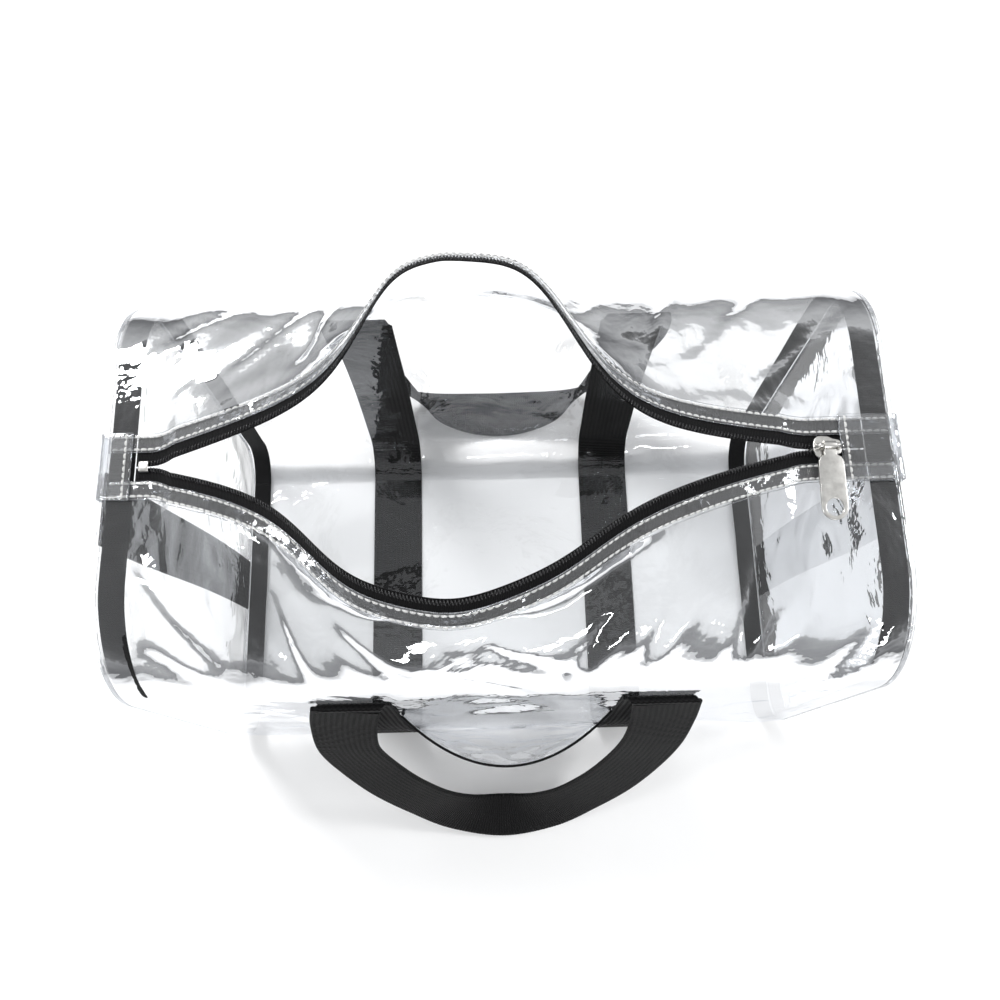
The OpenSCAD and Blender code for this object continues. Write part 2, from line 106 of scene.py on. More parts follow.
def share(side, x):
    """How far the mouth is open at x, from 0 at its ends to 1 where it is widest."""
    x = np.asarray(x, float)
    out = np.zeros_like(x)
    for k, u in (
        (BOWS[side][0], (BOW_X - x) / (BOW_X - BOW_LEFT)),
        (BOWS[side][1], (x - BOW_X) / (BOW_RIGHT - BOW_X)),
    ):
        inside = (u >= 0) & (u < 1)
        v = np.clip(u, 0, 1)
        r = BOW_ROUND[side]
        v = (np.sqrt(v * v + r * r) - r) / (math.sqrt(1 + r * r) - r)
        f = np.minimum(1, BOW_END * (1 - v)) * (
            k[0] * (1 - v) ** k[1] + (1 - k[0]) / (1 + (v / k[2]) ** k[3])
        )
        out = np.where(inside, f, out)
    return out


def opened(side, points, w):
    """Turns points of the closed roof open about the side's hinge line, each by its own share w."""
    cy, cz = PIVOT[side]
    a = -side * OPEN[side] * w
    y, z = points[..., 1] - cy, points[..., 2] - cz
    out = points.copy()
    out[..., 1] = cy + y * np.cos(a) - z * np.sin(a)
    out[..., 2] = cz + y * np.sin(a) + z * np.cos(a)
    return out


# ------------------------------------------------------------------ mesh helpers
def link(obj):
    bpy.context.scene.collection.objects.link(obj)
    return obj


def mesh_object(name, verts, faces, mat, uv=None, closed=False, sharp=None):
    mesh = bpy.data.meshes.new(name)
    mesh.from_pydata([tuple(v) for v in verts], [], faces)
    if closed:
        bm = bmesh.new()
        bm.from_mesh(mesh)
        bmesh.ops.recalc_face_normals(bm, faces=bm.faces)
        bm.to_mesh(mesh)
        bm.free()
    mesh.polygons.foreach_set("use_smooth", [True] * len(mesh.polygons))
    if uv is not None:
        layer = mesh.uv_layers.new(name="weave")
        loops = np.zeros(len(mesh.loops), np.int32)
        mesh.loops.foreach_get("vertex_index", loops)
        layer.data.foreach_set("uv", np.asarray(uv, np.float32)[loops].ravel())
    mesh.materials.append(mat)
    obj = link(bpy.data.objects.new(name, mesh))
    if sharp:
        mesh.set_sharp_from_angle(angle=math.radians(sharp))
    return obj


def grid_faces(ni, nj, wrap=False, start=0):
    js = range(nj) if wrap else range(nj - 1)
    return [
        (start + i * nj + j, start + (i + 1) * nj + j,
         start + (i + 1) * nj + (j + 1) % nj, start + i * nj + (j + 1) % nj)
        for i in range(ni - 1) for j in js
    ]


def normals_of(grid):
    """Unit normals of a grid of points."""
    du = np.gradient(grid, axis=0)
    dv = np.gradient(grid, axis=1)
    n = np.cross(du, dv)
    return n / np.maximum(np.linalg.norm(n, axis=2, keepdims=True), 1e-12)


def xyz(x, y, z):
    """Points from three coordinates, each of them an array or one value."""
    return np.stack(np.broadcast_arrays(x, y, z), axis=-1)


def fixed(direction, like):
    """The same direction at every point of like."""
    return np.broadcast_to(np.array(direction, float), like.shape)


def circle(n):
    """The n points of a unit circle."""
    return np.array([(math.cos(a), math.sin(a)) for a in (2 * math.pi * i / n for i in range(n))])


def weave_uv(profile, along):
    """Weave coordinates of a swept strip: across from its profile, along from its path."""
    return np.stack(np.broadcast_arrays(profile[None, :, 0], along[:, None]), axis=2)


def flat_profile(half_w, half_t, across=8, round_n=4):
    """Points round a flat strip with rounded edges, as pairs across and up."""
    edge = max(half_w - half_t, half_w * 0.1)
    top = [(-edge + 2 * edge * i / across, half_t) for i in range(across + 1)]
    right = [(edge + (half_w - edge) * math.sin(a), half_t * math.cos(a))
             for a in (math.pi * i / round_n for i in range(1, round_n))]
    bottom = [(-x, -y) for x, y in top]
    left = [(-x, -y) for x, y in right]
    return np.array(top + right + bottom + left)


def sweep_parts(centre, across, up, profile, scale=None):
    n, m = len(centre), len(profile)
    s = np.ones((n, 2)) if scale is None else scale
    rings = (
        centre[:, None, :]
        + across[:, None, :] * (profile[None, :, 0] * s[:, None, 0])[..., None]
        + up[:, None, :] * (profile[None, :, 1] * s[:, None, 1])[..., None]
    )
    along = np.concatenate([[0], np.cumsum(np.linalg.norm(np.diff(centre, axis=0), axis=1))])
    uv = weave_uv(profile, along)
    faces = grid_faces(n, m, wrap=True)
    faces.append(tuple(range(m - 1, -1, -1)))
    faces.append(tuple((n - 1) * m + j for j in range(m)))
    return rings.reshape(-1, 3), faces, uv.reshape(-1, 2)


def sweep(name, centre, across, up, profile, mat, scale=None, sharp=None):
    verts, faces, uv = sweep_parts(centre, across, up, profile, scale)
    return mesh_object(name, verts, faces, mat, uv, closed=True, sharp=sharp)


def join_parts(name, parts, mat, sharp=None):
    verts, faces, uvs, at = [], [], [], 0
    for v, f, u in parts:
        verts.append(np.asarray(v))
        uvs.append(np.asarray(u))
        faces += [tuple(i + at for i in q) for q in f]
        at += len(v)
    return mesh_object(name, np.concatenate(verts), faces, mat, np.concatenate(uvs), closed=True, sharp=sharp)


def unit(v):
    return v / np.maximum(np.linalg.norm(v, axis=-1, keepdims=True), 1e-12)


def smooth_rows(rows, n):
    """A smooth curve through rows of numbers, with n steps between rows."""
    rows = np.asarray(rows, float)
    out = []
    for i in range(len(rows) - 1):
        p0 = rows[max(i - 1, 0)] if i else 2 * rows[0] - rows[1]
        p1, p2 = rows[i], rows[i + 1]
        p3 = rows[i + 2] if i + 2 < len(rows) else 2 * rows[-1] - rows[-2]
        for k in range(n):
            t = k / n
            out.append(0.5 * (2 * p1 + (p2 - p0) * t + (2 * p0 - 5 * p1 + 4 * p2 - p3) * t * t
                              + (3 * p1 - p0 - 3 * p2 + p3) * t ** 3))
    out.append(rows[-1])
    return np.array(out)


def spaced_rows(rows, step, cols=3):
    """The same curve with cuts evenly spaced along it."""
    d = np.linalg.norm(np.diff(rows[:, :cols], axis=0), axis=1)
    along = np.concatenate([[0], np.cumsum(d)])
    n = max(2, int(round(along[-1] / step)) + 1)
    at = np.linspace(0, along[-1], n)
    return np.stack([np.interp(at, along, rows[:, k]) for k in range(rows.shape[1])], axis=1), at


def noise_at(points, scale, seed=0.0):
    return np.array([
        noise.noise(Vector((p[0] / scale + seed, p[1] / scale - seed, p[2] / scale + 2 * seed)))
        for p in points.reshape(-1, 3)
    ]).reshape(points.shape[:-1])


def smoothstep(a, b, x):
    t = np.clip((x - a) / (b - a), 0, 1)
    return t * t * (3 - 2 * t)


def set_weights(obj):
    """Bakes obj's transform into its mesh."""
    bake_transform(obj)
    return obj


def lip_piece(obj, side, roof_share=None):
    """obj was built closed. Opens it at rest, and bakes its transform."""
    co = np.zeros(len(obj.data.vertices) * 3)
    obj.data.vertices.foreach_get("co", co)
    co = co.reshape(-1, 3)
    w = share(side, co[:, 0])
    if roof_share is not None:
        w = w * roof_share
    co = opened(side, co, w)
    obj.data.vertices.foreach_set("co", co.astype(np.float32).ravel())
    obj.data.update()
    return set_weights(obj)


# ------------------------------------------------------------------ materials
class Nodes:
    def __init__(self, name):
        self.mat = bpy.data.materials.new(name)
        self.mat.use_nodes = True
        self.tree = self.mat.node_tree
        self.tree.nodes.clear()
        self.out = self.add("OutputMaterial")

    def add(self, kind, **values):
        node = self.tree.nodes.new("ShaderNode" + kind)
        for key, value in values.items():
            if hasattr(node, key):
                setattr(node, key, value)
            else:
                node.inputs[key.replace("_", " ")].default_value = value
        return node

    def join(self, a, b):
        self.tree.links.new(a, b)

    def math(self, op, a, b=None, c=None):
        node = self.add("Math", operation=op)
        for socket, value in zip(node.inputs, (a, b, c)):
            if value is None:
                continue
            if isinstance(value, (int, float)):
                socket.default_value = value
            else:
                self.join(value, socket)
        return node.outputs[0]

    def ramp(self, factor, stops):
        node = self.add("ValToRGB")
        ramp = node.color_ramp
        while len(ramp.elements) < len(stops):
            ramp.elements.new(0.5)
        for element, (at, colour) in zip(ramp.elements, stops):
            element.position = at
            element.color = (*colour, 1) if len(colour) == 3 else colour
        self.join(factor, node.inputs[0])
        return node.outputs[0]

    def noise(self, scale, detail=3.0, rough=0.5, vector=None, distortion=0.0):
        node = self.add("TexNoise")
        node.inputs["Scale"].default_value = scale
        node.inputs["Detail"].default_value = detail
        node.inputs["Roughness"].default_value = rough
        node.inputs["Distortion"].default_value = distortion
        self.join(vector or self.place(), node.inputs["Vector"])
        return node.outputs["Fac"]

    def place(self):
        return self.add("TexCoord").outputs["Object"]

    def weave(self):
        node = self.add("UVMap")
        node.uv_map = "weave"
        sep = self.add("SeparateXYZ")
        self.join(node.outputs[0], sep.inputs[0])
        return sep.outputs[0], sep.outputs[1]

    def bump(self, height, strength, distance, normal=None):
        node = self.add("Bump")
        node.inputs["Strength"].default_value = strength
        node.inputs["Distance"].default_value = distance
        self.join(height, node.inputs["Height"])
        if normal is not None:
            self.join(normal, node.inputs["Normal"])
        return node.outputs[0]

    def shader(self, **values):
        node = self.add("BsdfPrincipled")
        for key, value in values.items():
            socket = node.inputs[key.replace("_", " ")]
            if hasattr(value, "node"):
                self.join(value, socket)
            else:
                socket.default_value = value
        return node

    def done(self, shader):
        self.join(shader, self.out.inputs[0])
        return self.mat


def film_material(name, tint, haze, crease, rough, gain):
    """Clear soft vinyl: what is behind shows through, less at grazing angles, with a glossy skin."""
    n = Nodes(name)
    soft = n.noise(14.0, 4.0, 0.55, distortion=0.6)
    fine = n.noise(70.0, 3.0, 0.5)
    height = n.math("ADD", n.math("MULTIPLY", soft, 1.0), n.math("MULTIPLY", fine, 0.12))
    normal = n.bump(height, crease, 0.012)
    clear = n.add("BsdfTransparent")
    cloud = n.noise(9.0, 2.0)
    colour = n.ramp(cloud, [(0.3, tint), (0.7, tuple(min(1.0, t + 0.012) for t in tint))])
    n.join(colour, clear.inputs["Color"])
    milk = n.shader(Base_Color=(0.93, 0.94, 0.95, 1), Roughness=0.45)
    n.join(normal, milk.inputs["Normal"])
    body = n.add("MixShader")
    body.inputs[0].default_value = haze
    n.join(clear.outputs[0], body.inputs[1])
    n.join(milk.outputs[0], body.inputs[2])
    gloss = n.add("BsdfGlossy")
    gloss.inputs["Roughness"].default_value = rough
    gloss.inputs["Color"].default_value = (0.97, 0.98, 1.0, 1)
    n.join(normal, gloss.inputs["Normal"])
    fresnel = n.add("Fresnel")
    fresnel.inputs["IOR"].default_value = 1.52
    n.join(normal, fresnel.inputs["Normal"])
    skin = n.math("MINIMUM", n.math("MULTIPLY", fresnel.outputs[0], gain), 0.85)
    mix = n.add("MixShader")
    n.join(skin, mix.inputs[0])
    n.join(body.outputs[0], mix.inputs[1])
    n.join(gloss.outputs[0], mix.inputs[2])
    return n.done(mix.outputs[0])


def woven_material(name, dark, light, rib, column, depth, sheen, rough=0.78):
    """Webbing or tape: weft ribs across it, fainter warp columns along it, and uneven wear. Its colour is a
    painted highlight on the crests of the ribs and painted shade in the valleys between them, mixed with a
    random tone.
    """
    n = Nodes(name)
    u, v = n.weave()
    fray = n.noise(900.0, 2.0)
    wobble = n.math("MULTIPLY", n.math("SUBTRACT", n.noise(120.0, 2.0), 0.5), 0.9)
    column_at = n.math("MULTIPLY", u, 2 * math.pi / column)
    offset = n.math("MULTIPLY", n.math("SIGN", n.math("SINE", column_at)), math.pi / 5)
    shifted = n.math("ADD", n.math("ADD", n.math("MULTIPLY", v, 2 * math.pi / rib), offset), wobble)
    across = n.math("SINE", shifted)
    along = n.math("ABSOLUTE", n.math("SINE", column_at))
    height = n.math("ADD", n.math("MULTIPLY", across, 0.8), n.math("MULTIPLY", along, 0.12))
    height = n.math("ADD", height, n.math("MULTIPLY", fray, 0.35))
    # the colour follows the weave's height: painted highlight on the crests, painted shade in the valleys,
    # plus a random tone from the noise
    level = n.math("ADD", n.math("MULTIPLY", height, 0.4), n.math("MULTIPLY", n.noise(45.0, 3.0), 0.35))
    colour = n.ramp(level, [(0.05, dark), (0.95, light)])
    roughness = n.math("ADD", n.math("MULTIPLY", fray, 0.15), rough - 0.08)
    shader = n.shader(Base_Color=colour, Roughness=roughness, Sheen_Weight=sheen, Sheen_Roughness=0.4,
                      Specular_IOR_Level=0.12, Normal=n.bump(height, 0.9, depth))
    return n.done(shader.outputs[0])


def thread_material(name, dark, light):
    """Twisted thread: slanting plies, with painted shade in the grooves between the plies, a painted
    highlight on their crests, and a random unevenness of whiteness.
    """
    slant, pitch = 1.6, 0.9 * MM
    n = Nodes(name)
    u, v = n.weave()
    twist = n.math("ADD", n.math("MULTIPLY", u, slant), v)
    ply = n.math("SINE", n.math("MULTIPLY", twist, 2 * math.pi / pitch))
    # the colour follows the ply height: painted shade in the grooves, painted highlight on the crests, plus a
    # random tone from the noise
    level = n.math("ADD", n.math("MULTIPLY", ply, 0.25), n.noise(260.0, 2.0))
    colour = n.ramp(level, [(0.2, dark), (0.8, light)])
    shader = n.shader(Base_Color=colour, Roughness=0.55, Sheen_Weight=0.25, Normal=n.bump(ply, 0.7, 0.00012))
    return n.done(shader.outputs[0])


def coil_material():
    n = Nodes("coil_nylon")
    wear = n.noise(240.0, 3.0)
    colour = n.ramp(wear, [(0.35, (0.008, 0.008, 0.009)), (0.75, (0.028, 0.028, 0.03))])
    rough = n.math("ADD", n.math("MULTIPLY", wear, 0.15), 0.2)
    shader = n.shader(Base_Color=colour, Roughness=rough, Normal=n.bump(wear, 0.3, 0.0001))
    return n.done(shader.outputs[0])


def nickel_material():
    n = Nodes("soft_nickel")
    wear = n.noise(160.0, 4.0, 0.6)
    scuff = n.noise(1400.0, 3.0, 0.6)
    colour = n.ramp(wear, [(0.3, (0.5, 0.49, 0.47)), (0.7, (0.78, 0.77, 0.74))])
    rough = n.math("ADD", n.math("MULTIPLY", scuff, 0.18), 0.24)
    height = n.math("ADD", wear, n.math("MULTIPLY", scuff, 0.25))
    shader = n.shader(Base_Color=colour, Metallic=1.0, Roughness=rough, Normal=n.bump(height, 0.35, 0.00018))
    return n.done(shader.outputs[0])


def floor_material():
    n = Nodes("pale_floor")
    cloud = n.noise(2.5, 3.0)
    colour = n.ramp(cloud, [(0.2, (0.93, 0.93, 0.93)), (0.8, (0.96, 0.96, 0.96))])
    shader = n.shader(Base_Color=colour, Roughness=0.6)
    shader.inputs["Specular IOR Level"].default_value = 0.2
    return n.done(shader.outputs[0])


FILM = film_material("clear_vinyl", (0.955, 0.96, 0.965), 0.01, 0.24, 0.04, 1.7)
SEAM = film_material("doubled_vinyl", (0.965, 0.968, 0.972), 0.05, 0.5, 0.06, 1.0)
WEBBING = woven_material(
    "ribbed_webbing", (0.002, 0.002, 0.0022), (0.014, 0.014, 0.015), RIB, 3.1 * MM, 0.4 * MM, 0.06)
BINDING = woven_material(
    "binding_tape", (0.004, 0.004, 0.0045), (0.02, 0.02, 0.021), 0.9 * MM, 1.6 * MM, 0.2 * MM, 0.08)
TAPE = woven_material(
    "zipper_tape", (0.003, 0.003, 0.0035), (0.014, 0.014, 0.015), 0.8 * MM, 1.9 * MM, 0.2 * MM, 0.06)
COIL = coil_material()
NICKEL = nickel_material()
WHITE_THREAD = thread_material("white_thread", (0.72, 0.72, 0.71), (0.94, 0.94, 0.93))
BLACK_THREAD = thread_material("black_thread", (0.01, 0.01, 0.011), (0.06, 0.06, 0.062))


# ------------------------------------------------------------------ the film body
def quarter(cy, cz, r, a0, a1, n):
    a = np.radians(np.linspace(a0, a1, n + 1))
    return np.stack([cy + r * np.cos(a), cz + r * np.sin(a)], axis=1)


def half_outline(base_n=10, wall_n=34, arc_n=16, roof_n=14, inset=0.0, d_end=HEM_OUT + GAP):
    """Half of the closed section from the base's edge to the hem, as (across, height), with the share
    that each point opens by and how far over the roof it is."""
    base = quarter(HALF_D - BASE_R, BASE_Z + BASE_R, BASE_R - inset, -90, 0, base_n)
    top = TOP_Z - SHOULDER_R
    wall_z = np.linspace(BASE_Z + BASE_R, top, wall_n + 1)[1:-1]
    wall = np.stack([np.full_like(wall_z, HALF_D - inset), wall_z], axis=1)
    arc = quarter(HALF_D - SHOULDER_R, top, SHOULDER_R - inset, 0, 90, arc_n)
    d = np.linspace(HALF_D - SHOULDER_R, d_end, roof_n + 1)[1:]
    roof = np.stack([d, np.full_like(d, TOP_Z - inset)], axis=1)
    path = np.concatenate([base, wall, arc, roof])
    t = np.zeros(len(path))
    first = len(base) + len(wall)
    t[first:first + arc_n + 1] = np.linspace(0, SHOULDER_SHARE, arc_n + 1)
    t[first + arc_n + 1:] = np.linspace(SHOULDER_SHARE, 1, roof_n + 1)[1:]
    return path, t ** ROOF_POWER, t


def swell(x, z):
    """How far a wall stands proud of its flat shape."""
    up = np.clip((z - SWELL_LOW) / (SWELL_HIGH - SWELL_LOW), 0, 1)
    return SWELL * np.sin(math.pi * up) ** 2 * np.cos(math.pi * np.clip(x / (2 * IN_L), -0.5, 0.5)) ** 0.7


def crease(x, s, a, b, width, depth):
    """A straight crease from a to b on the unrolled film, fading at its ends."""
    ax, ay = a
    dx, dy = b[0] - ax, b[1] - ay
    length = math.hypot(dx, dy)
    along = ((x - ax) * dx + (s - ay) * dy) / length
    off = (-(x - ax) * dy + (s - ay) * dx) / length
    fade = smoothstep(0, 0.3 * length, along) * smoothstep(0, 0.3 * length, length - along)
    ridge = np.exp(-(off / width) ** 2)
    ditch = 0.6 * np.exp(-((off - 1.6 * width) / (1.3 * width)) ** 2)
    return depth * fade * (ridge - ditch)


# creases on the unrolled film: from, to (x and distance up from the base's edge), width, depth; mm
CREASES = {
    1: [
        ((-192, 300), (-118, 236), 4, 2.6), ((-185, 262), (-128, 214), 5, 2.4),
        ((-150, 318), (-92, 262), 4, 2.0), ((-196, 215), (-150, 180), 5, 2.0),
        ((-105, 330), (-88, 258), 4, 2.2), ((-60, 300), (-75, 240), 5, 2.0),
        ((120, 330), (196, 268), 4, 2.4), ((88, 322), (150, 246), 5, 2.2), ((70, 318), (98, 240), 4, 2.4),
        ((40, 300), (60, 236), 5, 1.8), ((150, 240), (198, 200), 5, 2.2), ((100, 215), (130, 150), 6, 1.8),
        ((-20, 290), (10, 215), 6, 1.6), ((-130, 150), (-100, 90), 6, 1.6), ((0, 160), (40, 100), 7, 1.4),
    ],
    -1: [
        ((-192, 312), (-140, 250), 4, 2.6), ((-190, 270), (-120, 214), 5, 2.4),
        ((-120, 316), (-98, 240), 4, 2.2), ((-92, 300), (-40, 236), 5, 2.4),
        ((-60, 262), (20, 226), 4, 2.2), ((-20, 282), (50, 240), 4, 2.0), ((60, 300), (20, 232), 5, 2.2),
        ((96, 312), (60, 240), 4, 2.2), ((130, 318), (110, 236), 4, 2.4), ((170, 316), (120, 250), 4, 2.4),
        ((196, 280), (140, 206), 5, 2.4), ((-150, 190), (-110, 120), 6, 2.0),
        ((150, 190), (112, 110), 6, 2.0), ((-30, 215), (40, 190), 5, 1.8), ((30, 180), (-40, 150), 6, 1.6),
    ],
}


def film_grid(side, columns=170):
    path, roof_w, t = half_outline()
    s = np.concatenate([[0], np.cumsum(np.linalg.norm(np.diff(path, axis=0), axis=1))])
    x = np.linspace(-IN_L, IN_L, columns + 1)
    X, S = np.meshgrid(x, s, indexing="ij")
    Z0 = np.broadcast_to(path[:, 1], X.shape)
    across = np.broadcast_to(path[None, :, 0], X.shape)
    on_roof = t[None, :] > SHOULDER_SHARE
    y = side * across + np.where(on_roof, CLOSED_Y, shift(Z0))
    grid = xyz(X, y, Z0)
    w = share(side, X) * roof_w[None, :]
    grid = opened(side, grid, w)
    n = normals_of(grid) * side
    # quiet at the end seams, the base's edge and the hem
    rim = smoothstep(0, 22 * MM, IN_L - np.abs(X)) * smoothstep(0, 30 * MM, S)
    rim = rim * smoothstep(0, 16 * MM, s[-1] - S)
    flat = xyz(X, S, side)
    big = noise_at(flat, 62 * MM, 3.1 * side) * 3.4 * MM
    mid = noise_at(flat, 27 * MM, 7.7 * side)
    ridge = (0.5 - np.abs(mid) * 2.2) * 0.8 * MM
    dents = big + ridge
    for a, b, width, depth in CREASES[side]:
        dents = dents + crease(X, S, (a[0] * MM, a[1] * MM), (b[0] * MM, b[1] * MM), width * MM, depth * MM)
    # film under the webbing, beside a lifted handle and behind the pocket only goes inward
    beside = np.abs(np.abs(X) - WEB_X)
    under = smoothstep(26 * MM, 20 * MM, beside) * smoothstep(FOLD_Z + 36 * MM, FOLD_Z + 18 * MM, Z0)
    if side < 0:
        behind = smoothstep(POCKET_HW + 8 * MM, POCKET_HW, np.abs(X))
        behind = behind * smoothstep(POCKET_TOP + 15 * MM, POCKET_TOP - 5 * MM, Z0)
        under = np.maximum(under, behind)
    dents = np.where(dents > 0, dents * (1 - under), dents * (1 - 0.75 * under))
    grid = grid + n * (dents * rim)[..., None]
    on_wall = (t[None, :] < 1e-9) * swell(X, Z0)
    grid[..., 1] += side * on_wall
    uv = np.stack([X, S], axis=2)
    return grid, w, uv, s[-1]


def sheet_piece(name, grid, mat, uv, flip=False):
    ni, nj = grid.shape[:2]
    faces = grid_faces(ni, nj)
    if flip:
        faces = [tuple(reversed(f)) for f in faces]
    return mesh_object(name, grid.reshape(-1, 3), faces, mat, uv.reshape(-1, 2))


def make_film():
    for side in (-1, 1):
        grid, w, uv, length = film_grid(side)
        s = SIDE_NAME[side]
        obj = sheet_piece(s + "_film", grid, FILM, uv, flip=side < 0)
        set_weights(obj)
        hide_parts(s + "_wall", s + "_shoulder", s + "_flap")
    columns, rows = 120, 40
    x = np.linspace(-IN_L, IN_L, columns + 1)
    y = np.linspace(-(HALF_D - BASE_R), HALF_D - BASE_R, rows + 1)
    X, Y = np.meshgrid(x, y, indexing="ij")
    Z = np.full_like(X, BASE_Z)
    rim = smoothstep(0, 20 * MM, IN_L - np.abs(X)) * smoothstep(0, 18 * MM, HALF_D - BASE_R - np.abs(Y))
    rise = np.clip(noise_at(xyz(X, Y, Z), 48 * MM, 2.2) + 0.4, 0, 1)
    Z = Z + rim * (0.6 * MM + 1.2 * MM * rise)
    grid = xyz(X, Y + MID_Y, Z)
    base = sheet_piece("base_film", grid, FILM, np.stack([X, Y], axis=2), flip=True)
    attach(base, "bag")
    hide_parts("base_panel")


def end_outline(inset=0.0, n=12):
    """The right and left halves of an end panel's outline at a depth inset, as (y, z) up from the base."""
    half, _, _ = half_outline(n, 24, n + 6, 8, inset, d_end=0.0)
    right = np.stack([half[:, 0] + shift(half[:, 1]), half[:, 1]], axis=1)
    left = np.stack([-half[:, 0] + shift(half[:, 1]), half[:, 1]], axis=1)
    return right, left


def ring_path(inset, step=2.5 * MM):
    right, left = end_outline(inset)
    pts = np.concatenate([right, left[::-1][1:]])
    pts = np.concatenate([pts, pts[:1]])
    rows, _ = spaced_rows(pts, step, cols=2)
    rows = rows[:-1]
    tangent = unit(np.roll(rows, -1, axis=0) - np.roll(rows, 1, axis=0))
    inward = np.stack([-tangent[:, 1], tangent[:, 0]], axis=1)
    return rows, tangent, inward


def ring_piece(name, k, inset, x_mid, half_w, half_t, mat, wave=0.0, seed=0.0):
    """A strip that runs round an end panel: half_w along the bag, half_t across the seam."""
    rows, _, inward = ring_path(inset)
    profile = flat_profile(half_w, half_t, 6, 4)
    n, m = len(rows), len(profile)
    ripple = np.array([noise.noise(Vector((r[0] / 0.03, r[1] / 0.03, seed))) for r in rows]) * wave
    verts = np.zeros((n, m, 3))
    verts[..., 0] = k * (x_mid + profile[None, :, 0]) + k * ripple[:, None] * 0.5
    off = profile[None, :, 1] + ripple[:, None] * np.clip(-profile[None, :, 0] / half_w, 0, 1)
    verts[..., 1] = rows[:, None, 0] + inward[:, None, 0] * off
    verts[..., 2] = rows[:, None, 1] + inward[:, None, 1] * off
    closed = np.concatenate([rows, rows[:1]])
    along = np.concatenate([[0], np.cumsum(np.linalg.norm(np.diff(closed, axis=0), axis=1))])[:-1]
    uv = weave_uv(profile, along)
    faces = [
        (i * m + j, ((i + 1) % n) * m + j, ((i + 1) % n) * m + (j + 1) % m, i * m + (j + 1) % m)
        for i in range(n) for j in range(m)
    ]
    return mesh_object(name, verts.reshape(-1, 3), faces, mat, uv.reshape(-1, 2), closed=True)


def make_ends():
    for k, name in HANDS:
        right, left = end_outline(0.0)
        z = right[:, 1]
        u = np.linspace(0, 1, 61)
        grid = np.zeros((len(u), len(z), 3))
        grid[..., 1] = left[None, :, 0] + (right[None, :, 0] - left[None, :, 0]) * u[:, None]
        grid[..., 2] = z[None, :]
        grid[..., 0] = k * (HALF_L - FILM_T / 2)
        half = (right[:, 0] - left[:, 0]) / 2
        rim = np.minimum(u, 1 - u)[:, None] * 2 * np.maximum(half[None, :], 1e-6)
        rim = smoothstep(0, 26 * MM, rim) * smoothstep(0, 26 * MM, np.minimum(z - BASE_Z, TOP_Z - z))[None, :]
        flat = xyz(grid[..., 1], grid[..., 2], k * 0.3)
        dents = 2.2 * MM * (noise_at(flat, 58 * MM, 5.0 * k) + 0.45)
        dents = dents + 1.2 * MM * (0.4 - np.abs(noise_at(flat, 26 * MM, 1.3 * k)) * 2)
        grid[..., 0] -= k * np.clip(dents, 0, 1) * rim
        panel = sheet_piece(name + "_end_film", grid, FILM, flat[..., :2])
        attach(panel, "bag")
        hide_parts(name + "_end_panel")
        welt = ring_piece(name + "_welt", k, 0.6 * MM, HALF_L + 1.25 * MM, 1.25 * MM, 0.6 * MM,
                          SEAM, 0.25 * MM, k)
        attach(welt, "bag")
        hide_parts(name + "_seam_welt")
        tape = ring_piece(name + "_binding", k, FILM_T + GAP + 0.7 * MM, IN_L - GAP - 6.6 * MM,
                          6.5 * MM, 0.6 * MM, BINDING, 0.5 * MM, 4 * k)
        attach(tape, "bag")
        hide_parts(name + "_seam_binding")


# ------------------------------------------------------------------ the lips of the mouth
def on_closed_lip(side, x, d, up=0.0):
    """Points of the closed lip at x, d from the closing line and up above the roof."""
    return xyz(x, CLOSED_Y + side * d, TOP_Z + up)


def along_lip(side, step, half, d=HEM_ROWS[0]):
    """Places along x, evenly spaced along the open lip."""
    x = np.linspace(-half, half, 1600)
    p = on_closed_lip(side, x, d)
    p = opened(side, p, share(side, x))
    s = np.concatenate([[0], np.cumsum(np.linalg.norm(np.diff(p, axis=0), axis=1))])
    n = int(round(s[-1] / step))
    at = np.linspace(0, s[-1], n + 1)
    return np.interp(at, s, x), at


def lip_strip(name, side, half, d0, d1, low, high, mat, step=2.0 * MM):
    x, _ = along_lip(side, step, half)
    centre = on_closed_lip(side, x, (d0 + d1) / 2, (low + high) / 2)
    across = fixed((0, side, 0), centre)
    upward = fixed((0, 0, 1), centre)
    obj = sweep(name, centre, across, upward, flat_profile((d1 - d0) / 2, (high - low) / 2), mat)
    return lip_piece(obj, side)


def helix(side):
    """One side's coil: a flattened helix of monofilament."""
    per_turn = 10
    x, at = along_lip(side, COIL_PITCH / per_turn, COIL_L, d=1.7 * MM)
    a = 2 * math.pi * at / COIL_PITCH
    # the heads of the turns point to the closing line
    d = 1.75 * MM - 1.05 * MM * np.cos(a)
    up = 0.2 * MM + 0.75 * MM * np.sin(a)
    centre = on_closed_lip(side, x, d, up)
    tangent = unit(np.gradient(centre, axis=0))
    ref = np.array([1.0, 0.0, 0.0])
    b = unit(np.cross(tangent, ref))
    c = np.cross(b, tangent)
    return sweep(SIDE_NAME[side] + "_coil", centre, b, c, circle(6) * WIRE_R, COIL)


def stitch_parts(points, up, length_share=0.94, radius=0.58 * MM):
    """A row of lockstitches through points: each a short plump thread that dives at both ends."""
    parts = []
    for i in range(len(points) - 1):
        a, b = points[i], points[i + 1]
        d = b - a
        t = np.linspace(-0.5, 0.5, 6)
        c = (a + b) / 2 + np.outer(t * length_share, d) - np.outer((2 * t) ** 2 * radius * 1.3, up)
        side = unit(np.cross(d, up))
        scale = np.sqrt(np.clip(1 - (2 * t) ** 4 * 0.75, 0.05, 1)) * radius
        parts.append(sweep_parts(
            c, fixed(side, c), fixed(up, c), circle(7), np.stack([scale * 1.1, scale * 0.85], axis=1)))
    return parts


